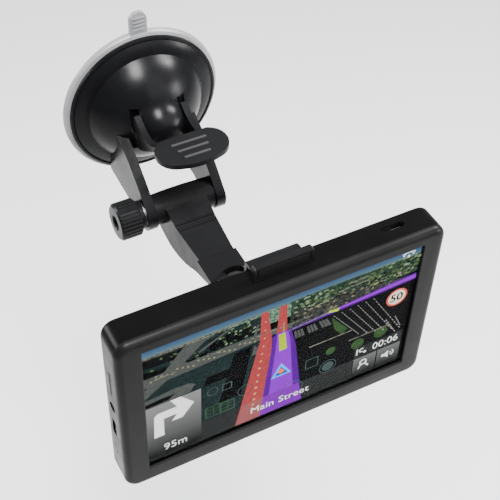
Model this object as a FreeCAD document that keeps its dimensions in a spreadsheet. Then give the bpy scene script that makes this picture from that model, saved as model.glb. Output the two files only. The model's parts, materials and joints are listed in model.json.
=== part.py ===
import FreeCAD, Part
import os
import re

import Sketcher

# Portable GPS navigator on a suction mount, in millimetres.
# Frame: origin at the middle of the suction pad's outer face, +Y towards the windscreen,
# +Z up, and the screen looks along -Y.

doc = FreeCAD.newDocument("GpsNavigator")

# ---------------------------------------------------------------- driving dimensions

SIZES = {
    # navigator housing
    "body_width": 129.0, "body_height": 82.7, "body_depth": 14.2,
    "front_y": -124.0, "body_mid_x": 1.2, "body_mid_z": -32.55,
    "corner_radius": 5.4, "front_rounding": 2.8, "back_rounding": 2.2,
    "bezel_depth": 3.0, "face_thickness": 1.1, "side_wall": 1.8, "back_wall": 1.6,
    "screen_width": 110.4, "screen_height": 67.6, "screen_mid_z": -31.0, "window_bevel": 0.3,
    "glass_width": 114.4, "glass_height": 71.8, "glass_thickness": 0.9,
    "panel_width": 113.0, "panel_height": 70.4, "panel_thickness": 2.4,
    "tray_gap": 0.1, "tray_wall": 0.35, "panel_front": -121.9,
    "post_x": 60.2, "post_upper_z": -8.0, "post_lower_z": -60.0, "post_radius": 2.0,
    "screw_radius": 0.9, "screw_head_radius": 1.6, "screw_head_height": 1.1,
    # parts inside the navigator
    "board_width": 102.0, "board_height": 60.0, "board_thickness": 1.0,
    "board_mid_x": 3.0, "board_back": -117.6,
    "processor_side": 14.0, "processor_x": -22.0, "processor_z": -16.0, "chip_height": 1.2,
    "memory_width": 11.0, "memory_height": 8.0, "memory_x": -2.0, "memory_z": -10.0, "memory_pitch": 12.0,
    "can_width": 22.0, "can_height": 20.0, "can_depth": 1.9, "can_wall": 0.3, "can_x": 20.0,
    "can_z": -16.0,
    "battery_width": 52.0, "battery_height": 33.0, "battery_depth": 3.0, "battery_x": -5.0,
    "battery_z": -50.5,
    "antenna_side": 16.0, "antenna_depth": 3.0, "antenna_x": 43.0, "antenna_z": -8.0,
    "speaker_width": 24.0, "speaker_height": 15.0, "speaker_depth": 3.0, "speaker_x": 38.0,
    "speaker_z": -46.0,
    "flex_width": 22.0, "flex_thickness": 0.2,
    # power slider on the top edge
    "slider_slot_length": 9.6, "slider_slot_width": 2.4, "slider_slot_x": 47.3, "slider_y": -115.35,
    "slider_length": 3.7, "slider_width": 2.1, "slider_x": 44.7, "slider_flange": 0.6,
    # sockets on the left edge
    "port_y": -116.1, "card_z": -17.0, "jack_z": -30.4, "usb_z": -42.5, "reset_z": -58.4,
    "card_width": 11.0, "card_length": 15.0, "card_thickness": 0.8,
    "jack_bore_radius": 1.8, "jack_body": 4.4, "jack_length": 12.0,
    "usb_width": 7.6, "usb_height": 3.1, "usb_length": 7.4,
    # suction pad and base
    "pad_radius": 33.8, "pad_thickness": 2.5, "tab_width": 7.2, "tab_tip_z": 43.0, "tab_thickness": 1.7,
    "flange_radius": 31.8, "dome_radius": 28.5, "dome_center_y": 7.6, "dome_foot_radius": 25.0,
    "disc_radius": 13.5, "disc_thickness": 1.8, "stem_radius": 4.0, "stem_gap": 0.05, "stem_tip_y": -24.5,
    "plunger_travel": 1.6, "spring_radius": 6.2, "spring_wire": 0.5, "spring_pitch": 1.4,
    "spring_length": 5.6,
    "boss_radius": 12.4, "boss_tip_y": -28.2, "boss_half_width": 8.3,
    "pin_y": -20.5, "pin_radius": 1.5, "cam_floor_y": -15.95, "cam_radius": 4.4,
    # fork and tilt clamp
    "fork_outer": 17.1, "fork_inner": 13.1, "fork_end_radius": 7.2, "hinge_y": -37.4, "hinge_z": -25.9,
    "bolt_radius": 2.0, "knob_radius": 7.8, "knob_outer_x": -28.7, "knob_inner_x": -19.5,
    "collar_radius": 5.9, "washer_thickness": 0.5, "knurl_count": 30, "knurl_radius": 0.45,
    "nut_flats": 7.0, "nut_thickness": 3.1,
    # lock lever
    "arm_outer": 11.3, "arm_inner": 8.7, "crossbar_y": -35.5, "paddle_half_width": 14.65,
    "paddle_tip_y": -58.5, "paddle_top_z": 12.8, "paddle_thickness": 2.0, "rib_width": 1.0,
    "rib_height": 0.5,
    # extension arm and ball joint
    "barrel_radius": 6.7, "barrel_half_length": 12.9, "root_half_width": 9.0, "waist_half_width": 7.5,
    "ball_y": -88.0, "ball_z": -28.0, "ball_radius": 5.8, "liner_thickness": 0.6, "joint_gap": 0.08,
    "socket_wall": 2.0, "mouth_depth": 4.3, "cap_half_width": 8.4, "cap_back_y": -70.0,
    "notch_half_width": 3.9, "notch_back_y": -82.3,
    "stud_pin_radius": 2.4, "neck_radius": 3.0, "stud_flange_radius": 11.0, "stud_flange_thickness": 2.0,
    # cradle
    "cradle_mid_x": 2.0, "plate_width": 42.0, "plate_top_z": 5.0, "plate_bottom_z": -64.0,
    "plate_thickness": 2.4, "plate_gap": 0.1,
    "latch_half_width": 10.3, "latch_gap": 0.35, "latch_thickness": 1.5, "latch_root_z": -14.0,
    "tab_half_width": 11.7, "thumb_front_y": -117.5, "thumb_thickness": 2.3, "thumb_top_z": 15.6,
    "hook_gap": 0.2, "hook_thickness": 1.3, "tongue_x": 13.0, "tongue_z": -59.0,
}

sheet = doc.addObject("Spreadsheet::Sheet", "Sizes")
for row, (alias, number) in enumerate(SIZES.items(), start=1):
    sheet.set(f"A{row}", alias)
    sheet.set(f"B{row}", str(number))
    sheet.setAlias(f"B{row}", alias)
doc.recompute()

WORD = re.compile(r"[a-z][a-z_]*[a-z]")


def bound(expression):
    """The expression with each driving dimension read from the sheet."""
    def named(word):
        return "Sizes." + word.group() if word.group() in SIZES else word.group()
    return WORD.sub(named, str(expression))


def value(expression):
    """The number that an expression in the driving dimensions gives now."""
    return float(sheet.evalExpression("0 + (" + str(expression) + ")"))


def bind(thing, **properties):
    """Ties properties to expressions; a double underscore stands for a dot."""
    for path, expression in properties.items():
        thing.setExpression(path.replace("__", "."), bound(expression))


def place(thing, x="0", y="0", z="0"):
    bind(thing, Placement__Base__x=x, Placement__Base__y=y, Placement__Base__z=z)


# ---------------------------------------------------------------- sketches and features

parts = []


def new_body(label, x="0", y="0", z="0"):
    body = doc.addObject("PartDesign::Body", label)
    body.Label = label
    place(body, x, y, z)
    parts.append(body)
    return body


def sketch_on(body, plane, offset="0", x="0", y="0"):
    """A sketch on one of the body's origin planes, moved along its normal and within it."""
    sketch = body.newObject("Sketcher::SketchObject", "Sketch")
    base = next(feature for feature in body.Origin.OriginFeatures if feature.Role == plane)
    sketch.AttachmentSupport = [(base, "")]
    sketch.MapMode = "FlatFace"
    bind(sketch, AttachmentOffset__Base__x=x, AttachmentOffset__Base__y=y,
         AttachmentOffset__Base__z=offset)
    return sketch


def fix_point(sketch, curve, vertex, x, y):
    for kind, expression in (("DistanceX", x), ("DistanceY", y)):
        index = sketch.addConstraint(Sketcher.Constraint(kind, -1, 1, curve, vertex, value(expression)))
        sketch.setExpression(f"Constraints[{index}]", bound(expression))


def outline(sketch, corners):
    """A closed outline. A corner is (x, y), or (x, y, via_x, via_y) where an arc leaves it."""
    points = [FreeCAD.Vector(value(corner[0]), value(corner[1]), 0) for corner in corners]
    ends = []
    for index, corner in enumerate(corners):
        start = points[index]
        finish = points[(index + 1) % len(points)]
        if len(corner) == 2:
            curve = sketch.addGeometry(Part.LineSegment(start, finish))
            ends.append((curve, 1, 2))
            continue
        via = FreeCAD.Vector(value(corner[2]), value(corner[3]), 0)
        curve = sketch.addGeometry(Part.Arc(start, via, finish))
        marker = sketch.addGeometry(Part.Point(via), True)
        fix_point(sketch, marker, 1, corner[2], corner[3])
        sketch.addConstraint(Sketcher.Constraint("PointOnObject", marker, 1, curve))
        first_gap = sketch.getPoint(curve, 1).distanceToPoint(start)
        forward = first_gap < sketch.getPoint(curve, 2).distanceToPoint(start)
        ends.append((curve, 1, 2) if forward else (curve, 2, 1))
    for index, corner in enumerate(corners):
        curve, first, last = ends[index]
        following, next_first, _ = ends[(index + 1) % len(ends)]
        sketch.addConstraint(Sketcher.Constraint("Coincident", curve, last, following, next_first))
        fix_point(sketch, curve, first, corner[0], corner[1])


def rectangle(sketch, width, height, x="0", y="0"):
    left, right = f"({x})-({width})/2", f"({x})+({width})/2"
    low, high = f"({y})-({height})/2", f"({y})+({height})/2"
    outline(sketch, [(left, low), (right, low), (right, high), (left, high)])


def rounded_rectangle(sketch, width, height, radius, x="0", y="0"):
    left, right = f"({x})-({width})/2", f"({x})+({width})/2"
    low, high = f"({y})-({height})/2", f"({y})+({height})/2"
    inset = f"({radius})*0.292893"
    outline(sketch, [
        (f"{left}+({radius})", low),
        (f"{right}-({radius})", low, f"{right}-{inset}", f"{low}+{inset}"),
        (right, f"{low}+({radius})"),
        (right, f"{high}-({radius})", f"{right}-{inset}", f"{high}-{inset}"),
        (f"{right}-({radius})", high),
        (f"{left}+({radius})", high, f"{left}+{inset}", f"{high}-{inset}"),
        (left, f"{high}-({radius})"),
        (left, f"{low}+({radius})", f"{left}+{inset}", f"{low}+{inset}"),
    ])


def circle(sketch, radius, x="0", y="0"):
    center = FreeCAD.Vector(value(x), value(y), 0)
    curve = sketch.addGeometry(Part.Circle(center, FreeCAD.Vector(0, 0, 1), value(radius)))
    index = sketch.addConstraint(Sketcher.Constraint("Radius", curve, value(radius)))
    sketch.setExpression(f"Constraints[{index}]", bound(radius))
    fix_point(sketch, curve, 3, x, y)


def extrude(body, kind, sketch, length, reverse=False, both=False):
    before = 0 if body.Shape.isNull() else body.Shape.Volume
    feature = body.newObject("PartDesign::" + kind, kind)
    feature.Profile = sketch
    bind(feature, Length=length)
    feature.Reversed = reverse
    if both:
        feature.SideType = "Symmetric"
    doc.recompute()
    check_change(body, kind, before)
    return feature


def check_change(body, kind, before):
    """A feature that adds has to add, and one that cuts has to cut."""
    after = body.Shape.Volume
    adds = kind in ("Pad", "Revolution")
    if (after <= before) if adds else (after >= before):
        raise RuntimeError(f"{body.Label}: {kind} changed the volume from {before:.2f} to {after:.2f}")


def pad(body, sketch, length, reverse=False, both=False):
    return extrude(body, "Pad", sketch, length, reverse, both)


def pocket(body, sketch, length, reverse=False, both=False):
    return extrude(body, "Pocket", sketch, length, reverse, both)


def turn(body, kind, sketch, axis):
    before = 0 if body.Shape.isNull() else body.Shape.Volume
    feature = body.newObject("PartDesign::" + kind, kind)
    feature.Profile = sketch
    feature.ReferenceAxis = (sketch, [axis])
    feature.Angle = 360
    doc.recompute()
    check_change(body, kind, before)
    return feature


def dress(body, kind, size, wanted):
    """A fillet or chamfer on the edges that the test picks, in the body's own frame."""
    base = body.Tip
    names = [f"Edge{index}" for index, edge in enumerate(base.Shape.Edges, start=1) if wanted(edge)]
    if not names:
        raise RuntimeError(f"{body.Label}: no edge to {kind}")
    feature = body.newObject("PartDesign::" + kind, kind)
    feature.Base = (base, names)
    bind(feature, **{"Radius" if kind == "Fillet" else "Size": size})
    doc.recompute()
    return feature


def on_level(axis, level):
    """True for an edge that lies wholly at that level of an axis."""
    def test(edge):
        box = edge.BoundBox
        low, high = {"x": (box.XMin, box.XMax), "y": (box.YMin, box.YMax),
                     "z": (box.ZMin, box.ZMax)}[axis]
        return abs(low - value(level)) < 0.01 and abs(high - value(level)) < 0.01
    return test


# ---------------------------------------------------------------- Part primitives

def block(label, size, center, listed=True):
    """A box of (x, y, z) sizes about a centre point."""
    thing = doc.addObject("Part::Box", label)
    thing.Label = label
    bind(thing, Length=size[0], Width=size[1], Height=size[2])
    place(thing, *[f"({middle})-({side})/2" for middle, side in zip(center, size)])
    if listed:
        parts.append(thing)
    return thing


AXES = {"x": (FreeCAD.Vector(0, 1, 0), 90), "y": (FreeCAD.Vector(1, 0, 0), -90),
        "z": (FreeCAD.Vector(0, 0, 1), 0)}


def rod(label, radius, length, start, axis, listed=True):
    """A cylinder from its start point along +x, +y or +z."""
    thing = doc.addObject("Part::Cylinder", label)
    thing.Label = label
    bind(thing, Radius=radius, Height=length)
    thing.Placement = FreeCAD.Placement(FreeCAD.Vector(0, 0, 0), FreeCAD.Rotation(*AXES[axis]))
    place(thing, *start)
    if listed:
        parts.append(thing)
    return thing


def joined(label, kind, pieces, listed=True):
    """A union ("Part::MultiFuse") or a group of separate solids ("Part::Compound")."""
    thing = doc.addObject(kind, label)
    thing.Label = label
    if kind == "Part::Compound":
        thing.Links = pieces
    else:
        thing.Shapes = pieces
    if listed:
        parts.append(thing)
    return thing


def minus(label, base, tool):
    thing = doc.addObject("Part::Cut", label)
    thing.Label = label
    thing.Base = base
    thing.Tool = tool
    parts.append(thing)
    return thing


def screw(label, head_radius, head_height, shank_radius, length, center, axis, sign):
    """A screw whose head starts at the centre point and whose shank runs along sign * axis."""
    index = "xyz".index(axis)
    head_start = list(center)
    shank_start = list(center)
    if sign < 0:
        head_start[index] = f"({center[index]})-({head_height})"
        shank_start[index] = f"({center[index]})-({length})"
    head = rod(label + "_head", head_radius, head_height, head_start, axis, listed=False)
    shank = rod(label + "_shank", shank_radius, length, shank_start, axis, listed=False)
    return joined(label, "Part::MultiFuse", [head, shank], listed=False)


BODY_BACK = "front_y+body_depth"
SCREEN_RISE = "screen_mid_z-body_mid_z"
SEAM_Y = "front_y+bezel_depth"
POSTS = [(side + "post_x", height + "-body_mid_z")
         for side in ("", "-") for height in ("post_upper_z", "post_lower_z")]


# ---------------------------------------------------------------- navigator housing

def on_window(edge):
    """True for an edge of the front's opening, in the bezel's own frame."""
    box = edge.BoundBox
    half_width, half_height = value("screen_width/2+0.1"), value("screen_height/2+0.1")
    across = abs(box.XMin) < half_width and abs(box.XMax) < half_width
    upright = max(abs(box.ZMin - value(SCREEN_RISE)), abs(box.ZMax - value(SCREEN_RISE))) < half_height
    return on_level("y", "0")(edge) and across and upright


def make_front_bezel():
    body = new_body("front_bezel", "body_mid_x", "front_y", "body_mid_z")
    sketch = sketch_on(body, "XZ_Plane")
    rounded_rectangle(sketch, "body_width", "body_height", "corner_radius")
    pad(body, sketch, "bezel_depth", reverse=True)
    dress(body, "Fillet", "front_rounding", on_level("y", "0"))
    sketch = sketch_on(body, "XZ_Plane", "-bezel_depth")
    rounded_rectangle(sketch, "body_width-2*side_wall", "body_height-2*side_wall",
                      "corner_radius-side_wall")
    pocket(body, sketch, "bezel_depth-face_thickness", reverse=True)
    sketch = sketch_on(body, "XZ_Plane", "-bezel_depth")
    rectangle(sketch, "screen_width", "screen_height", y=SCREEN_RISE)
    pocket(body, sketch, "bezel_depth+1", reverse=True)
    dress(body, "Chamfer", "window_bevel", on_window)
    sketch = sketch_on(body, "XZ_Plane", "-bezel_depth")
    for x, z in POSTS:
        circle(sketch, "post_radius", x, z)
    pad(body, sketch, "bezel_depth-face_thickness")
    sketch = sketch_on(body, "XZ_Plane", "-bezel_depth")
    for x, z in POSTS:
        circle(sketch, "screw_radius", x, z)
    pocket(body, sketch, "1.6", reverse=True)


def make_rear_cover():
    depth = "body_depth-bezel_depth"
    body = new_body("rear_cover", "body_mid_x", SEAM_Y, "body_mid_z")
    sketch = sketch_on(body, "XZ_Plane")
    rounded_rectangle(sketch, "body_width", "body_height", "corner_radius")
    pad(body, sketch, depth, reverse=True)
    dress(body, "Fillet", "back_rounding", on_level("y", depth))
    sketch = sketch_on(body, "XZ_Plane")
    rounded_rectangle(sketch, "body_width-2*side_wall", "body_height-2*side_wall",
                      "corner_radius-side_wall")
    pocket(body, sketch, depth + "-back_wall")
    sketch = sketch_on(body, "XZ_Plane")
    for x, z in POSTS:
        circle(sketch, "post_radius+0.3", x, z)
    pad(body, sketch, depth + "-back_wall", reverse=True)
    sketch = sketch_on(body, "XZ_Plane")
    for x, z in POSTS:
        circle(sketch, "screw_radius+0.05", x, z)
    pocket(body, sketch, depth + "+1")
    sketch = sketch_on(body, "XZ_Plane", "-(" + depth + ")")
    for x, z in POSTS:
        circle(sketch, "screw_head_radius+0.1", x, z)
    pocket(body, sketch, "screw_head_height+0.1", reverse=True)
    # slot for the power slider in the top wall
    sketch = sketch_on(body, "XY_Plane", "body_height/2")
    rounded_rectangle(sketch, "slider_slot_length", "slider_slot_width", "slider_slot_width/2-0.01",
                      "slider_slot_x-body_mid_x", "slider_y-(" + SEAM_Y + ")")
    pocket(body, sketch, "side_wall+0.2")
    # sockets in the left wall
    sketch = sketch_on(body, "YZ_Plane", "-body_width/2")
    across = "port_y-(" + SEAM_Y + ")"
    rounded_rectangle(sketch, "1.5", "card_width+1", "0.5", across, "card_z-body_mid_z")
    circle(sketch, "jack_bore_radius+0.4", across, "jack_z-body_mid_z")
    rounded_rectangle(sketch, "usb_height+0.2", "usb_width+0.4", "0.6", across, "usb_z-body_mid_z")
    circle(sketch, "0.6", across, "reset_z-body_mid_z")
    pocket(body, sketch, "side_wall+0.2", reverse=True)
    # sound slots and the two recesses that the cradle's tongues enter
    sketch = sketch_on(body, "XZ_Plane", "-(" + depth + ")")
    for step in range(-2, 3):
        rounded_rectangle(sketch, "speaker_width*0.6", "1.1", "0.5", "speaker_x-body_mid_x",
                          f"speaker_z-body_mid_z+{step}*2.4")
    pocket(body, sketch, "back_wall+0.2", reverse=True)
    sketch = sketch_on(body, "XZ_Plane", "-(" + depth + ")")
    for side in ("", "-"):
        rectangle(sketch, "6.6", "3.2", side + "tongue_x+cradle_mid_x-body_mid_x", "tongue_z-body_mid_z")
    pocket(body, sketch, "1.1", reverse=True)


def make_plate(label, width, height, thickness, front, x="body_mid_x", z="screen_mid_z", rounding=None):
    """A flat plate square to the navigator's depth, with rounded corners where it has them."""
    body = new_body(label, x, front, z)
    sketch = sketch_on(body, "XZ_Plane")
    if rounding:
        rounded_rectangle(sketch, width, height, rounding)
    else:
        rectangle(sketch, width, height)
    pad(body, sketch, thickness, reverse=True)
    return body


def make_display():
    make_plate("touch_panel", "glass_width", "glass_height", "glass_thickness", "front_y+face_thickness",
               rounding="1.0")
    make_plate("lcd_panel", "panel_width", "panel_height", "panel_thickness", "panel_front",
               rounding="0.6")
    outer_width = "panel_width+2*tray_gap+2*tray_wall"
    outer_height = "panel_height+2*tray_gap+2*tray_wall"
    tray = make_plate("lcd_frame", outer_width, outer_height, "panel_thickness+tray_gap+tray_wall",
                      "panel_front",
                      rounding="0.9")
    sketch = sketch_on(tray, "XZ_Plane")
    rounded_rectangle(sketch, "panel_width+2*tray_gap", "panel_height+2*tray_gap", "0.6")
    pocket(tray, sketch, "panel_thickness+tray_gap")
    flex = new_body("display_flex", "body_mid_x", "board_back", "screen_mid_z-board_height/2")
    edge = "-(panel_height-board_height)/2-tray_gap-tray_wall"
    sketch = sketch_on(flex, "YZ_Plane")
    outline(sketch, [
        ("-2.6", edge), ("-2.6", edge + "-1.6"), ("flex_thickness", edge + "-1.6"),
        ("flex_thickness", "4"), ("0", "4"), ("0", edge + "-1.6+flex_thickness"),
        ("-2.6+flex_thickness", edge + "-1.6+flex_thickness"), ("-2.6+flex_thickness", edge),
    ])
    pad(flex, sketch, "flex_width", both=True)


def make_electronics():
    make_plate("main_board", "board_width", "board_height", "board_thickness",
               "board_back-board_thickness",
               "board_mid_x", rounding="1.5")
    make_plate("processor_chip", "processor_side", "processor_side", "chip_height", "board_back",
               "processor_x",
               "processor_z", rounding="0.3")
    chips = [block(f"memory_chip_{index}", ("memory_width", "chip_height", "memory_height"),
                   ("memory_x", "board_back+chip_height/2", f"memory_z-{index}*memory_pitch"),
                   listed=False)
             for index in range(2)]
    joined("memory_chips", "Part::Compound", chips)
    can = make_plate("shield_can", "can_width", "can_height", "can_depth", "board_back", "can_x", "can_z",
                     rounding="0.8")
    sketch = sketch_on(can, "XZ_Plane")
    rounded_rectangle(sketch, "can_width-2*can_wall", "can_height-2*can_wall", "0.5")
    pocket(can, sketch, "can_depth-can_wall")
    battery = make_plate("battery", "battery_width", "battery_height", "battery_depth", "board_back+0.4",
                         "battery_x",
                         "battery_z", rounding="1.2")
    dress(battery, "Fillet", "0.9", on_level("y", "battery_depth"))
    antenna = make_plate("gps_antenna", "antenna_side", "antenna_side", "antenna_depth", "board_back",
                         "antenna_x",
                         "antenna_z", rounding="0.4")
    dress(antenna, "Chamfer", "0.3", on_level("y", "antenna_depth"))
    speaker = make_plate("speaker", "speaker_width", "speaker_height", "speaker_depth", "board_back+0.5",
                         "speaker_x",
                         "speaker_z", rounding="speaker_height/2-0.01")
    sketch = sketch_on(speaker, "XZ_Plane", "-speaker_depth")
    rounded_rectangle(sketch, "speaker_width-3", "speaker_height-3", "speaker_height/2-1.51")
    pocket(speaker, sketch, "0.6", reverse=True)


def make_power_slider():
    slider = new_body("power_slider", "slider_x", "slider_y", "body_mid_z+body_height/2-side_wall")
    sketch = sketch_on(slider, "XY_Plane", "-0.2")
    rectangle(sketch, "slider_length+1.6", "slider_width+0.7")
    pad(slider, sketch, "slider_flange", reverse=True)
    sketch = sketch_on(slider, "XY_Plane", "-0.2")
    rounded_rectangle(sketch, "slider_length", "slider_width", "slider_width/2-0.01")
    pad(slider, sketch, "side_wall-0.1")
    sketch = sketch_on(slider, "XY_Plane", "side_wall-0.3")
    for step in (-1, 0, 1):
        rectangle(sketch, "0.3", "slider_width-0.8", f"{step}*0.8")
    pocket(slider, sketch, "0.3")
    block("slide_switch", ("8.6", "3.0", "2.6"), ("slider_slot_x", "slider_y-0.2",
                                                  "body_mid_z+body_height/2-side_wall-2.3"))


def make_sockets():
    outside = "body_mid_x-body_width/2"
    wall = outside + "+side_wall+0.1"
    jack = new_body("headphone_jack", wall, "port_y", "jack_z")
    sketch = sketch_on(jack, "YZ_Plane")
    rectangle(sketch, "jack_body", "jack_body+1.4")
    pad(jack, sketch, "jack_length")
    sketch = sketch_on(jack, "YZ_Plane")
    circle(sketch, "jack_bore_radius+0.4")
    pad(jack, sketch, "side_wall-0.2", reverse=True)
    sketch = sketch_on(jack, "YZ_Plane", "-side_wall+0.2")
    circle(sketch, "jack_bore_radius")
    pocket(jack, sketch, "jack_length+side_wall-1.6", reverse=True)
    port = new_body("usb_port", outside + "+0.7", "port_y", "usb_z")
    sketch = sketch_on(port, "YZ_Plane")
    rounded_rectangle(sketch, "usb_height", "usb_width", "0.5")
    pad(port, sketch, "usb_length")
    sketch = sketch_on(port, "YZ_Plane")
    rounded_rectangle(sketch, "usb_height-0.6", "usb_width-0.6", "0.4")
    pocket(port, sketch, "usb_length-0.6", reverse=True)
    sketch = sketch_on(port, "YZ_Plane", "usb_length-0.5")
    rectangle(sketch, "0.7", "usb_width-2.4")
    pad(port, sketch, "usb_length-1.5", reverse=True)
    slot = new_body("card_slot", wall, "port_y", "card_z")
    sketch = sketch_on(slot, "YZ_Plane")
    rectangle(sketch, "1.9", "card_width+2.4", "-0.2")
    pad(slot, sketch, "card_length-0.4")
    sketch = sketch_on(slot, "YZ_Plane")
    rectangle(sketch, "card_thickness+0.3", "card_width+0.4")
    pocket(slot, sketch, "card_length-1", reverse=True)
    card = new_body("memory_card", outside + "-0.3", "port_y", "card_z")
    sketch = sketch_on(card, "YZ_Plane")
    rectangle(sketch, "card_thickness", "card_width")
    pad(card, sketch, "card_length")
    dress(card, "Fillet", "0.35", on_level("x", "0"))


def make_case_screws():
    screws = [screw(f"case_screw_{index}", "screw_head_radius", "screw_head_height", "screw_radius",
                    "body_depth-bezel_depth+1.4",
                    (x + "+body_mid_x", BODY_BACK + "-0.1", z + "+body_mid_z"), "y", -1)
              for index, (x, z) in enumerate(POSTS)]
    joined("case_screws", "Part::Compound", screws)


# ---------------------------------------------------------------- suction base

def make_suction_pad():
    body = new_body("suction_pad")
    sketch = sketch_on(body, "XY_Plane")
    outline(sketch, [("0", "0"), ("pad_radius", "0"), ("pad_radius", "-1.0"), ("pad_radius-0.7", "-2.0"),
                     ("flange_radius-1", "-pad_thickness"), ("0", "-pad_thickness")])
    turn(body, "Revolution", sketch, "V_Axis")
    sketch = sketch_on(body, "XZ_Plane", "0.2")
    half = "tab_width/2"
    outline(sketch, [("-" + half, "pad_radius-4"), (half, "pad_radius-4"),
                     (half, "tab_tip_z-" + half, "0", "tab_tip_z"), ("-" + half, "tab_tip_z-" + half)])
    pad(body, sketch, "tab_thickness")
    sketch = sketch_on(body, "XZ_Plane", "0.2+tab_thickness-0.1")
    for step in range(4):
        rounded_rectangle(sketch, "tab_width-2.2", "0.7", "0.34", "0", f"pad_radius+1.6+{step}*1.7")
    pad(body, sketch, "0.5")


def make_base_cover():
    body = new_body("base_cover")
    # cup: rim, flare and spherical dome, turned about the pad's axis
    dome_x = "dome_radius*sin({0})"
    dome_y = "dome_center_y-dome_radius*cos({0})"
    foot = "asin(dome_foot_radius/dome_radius)"
    sketch = sketch_on(body, "XY_Plane")
    outline(sketch, [
        ("0", "-pad_thickness"), ("flange_radius", "-pad_thickness"),
        ("flange_radius", "-pad_thickness-1.1"),
        ("flange_radius-0.9", "-pad_thickness-1.5"),
        ("flange_radius-1.5", "-pad_thickness-1.3", "(flange_radius+dome_foot_radius)/2-0.3", "-5.0"),
        (dome_x.format(foot), dome_y.format(foot), dome_x.format("30"), dome_y.format("30")),
        ("0", "dome_center_y-dome_radius"),
    ])
    turn(body, "Revolution", sketch, "V_Axis")
    # boss on the axis, flat on both sides where the lever's arms pass
    sketch = sketch_on(body, "XY_Plane")
    outline(sketch, [("0", "-15"), ("boss_radius", "-15"),
                     ("boss_radius", "-17.5", "boss_radius-2.6", "-24.0"),
                     ("boss_radius*0.42", "boss_tip_y+0.5"),
                     ("0", "boss_tip_y")])
    turn(body, "Revolution", sketch, "V_Axis")
    for side in ("", "-"):
        sketch = sketch_on(body, "XZ_Plane", "-cam_floor_y")
        middle = f"{side}(boss_half_width+arm_outer+0.5)/2"
        rectangle(sketch, "arm_outer+0.5-boss_half_width", "19.4", middle, "0.7")
        pocket(body, sketch, "14", reverse=True)
    # fork arms
    sketch = sketch_on(body, "YZ_Plane", "-fork_outer")
    draw_fork_arm(sketch)
    pad(body, sketch, "fork_outer-fork_inner")
    sketch = sketch_on(body, "YZ_Plane", "fork_outer")
    draw_fork_arm(sketch)
    pad(body, sketch, "fork_outer-fork_inner", reverse=True)
    # room for the disc, the spring and the stem, and the hollow under the dome
    sketch = sketch_on(body, "XY_Plane")
    outline(sketch, [
        ("0", "-pad_thickness"), ("disc_radius+1.2", "-pad_thickness"), ("disc_radius+1.2", "-6.6"),
        ("spring_radius+1.2", "-6.6"), ("spring_radius+1.2", "-12.8"), ("stem_radius+stem_gap", "-12.8"),
        ("stem_radius+stem_gap", "stem_tip_y-plunger_travel-0.2"), ("0", "stem_tip_y-plunger_travel-0.2"),
    ])
    turn(body, "Groove", sketch, "V_Axis")
    sketch = sketch_on(body, "XY_Plane")
    outline(sketch, [("16.8", "-pad_thickness"), ("28.5", "-pad_thickness"), ("23.5", "-5.4"),
                     ("19.5", "-10.9"),
                     ("16.8", "-13.0")])
    turn(body, "Groove", sketch, "V_Axis")
    # slot that the lever's pin slides in, and the bolt's hole and the nut's seat in the fork
    sketch = sketch_on(body, "YZ_Plane", "0", "pin_y-plunger_travel/2", "0")
    rounded_rectangle(sketch, "2*pin_radius+plunger_travel+0.4", "2*pin_radius+0.2", "pin_radius-0.2")
    pocket(body, sketch, "2*boss_half_width+2", both=True)
    sketch = sketch_on(body, "YZ_Plane", "0", "hinge_y", "hinge_z")
    circle(sketch, "bolt_radius+0.05")
    pocket(body, sketch, "2*fork_outer+2", both=True)
    sketch = sketch_on(body, "YZ_Plane", "fork_outer-nut_thickness", "hinge_y", "hinge_z")
    hexagon(sketch, "nut_flats+0.1")
    pocket(body, sketch, "nut_thickness+1", reverse=True)


def draw_fork_arm(sketch):
    """A fork arm's side view: a straight front edge down to a round end about the hinge."""
    end = "fork_end_radius"
    outline(sketch, [
        ("-9.5", "-1.2"), ("-14.0", "-1.2"), ("-25.7", "-7.4"), ("-35.9", "-15.3"),
        (f"hinge_y-{end}*0.914", f"hinge_z+{end}*0.406", f"hinge_y-{end}*0.75", f"hinge_z-{end}*0.661"),
        ("hinge_y+1.2", f"hinge_z-{end}*0.986"), ("-21.8", "-29.2"), ("-4.6", "-27.8"), ("-4.6", "-12"),
    ])


def hexagon(sketch, flats):
    """A hexagon about the sketch's origin, with two flats upright."""
    corner = f"({flats})/2/cos(30)"
    outline(sketch, [(f"{corner}*cos({angle})", f"{corner}*sin({angle})") for angle in range(0, 360, 60)])


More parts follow.
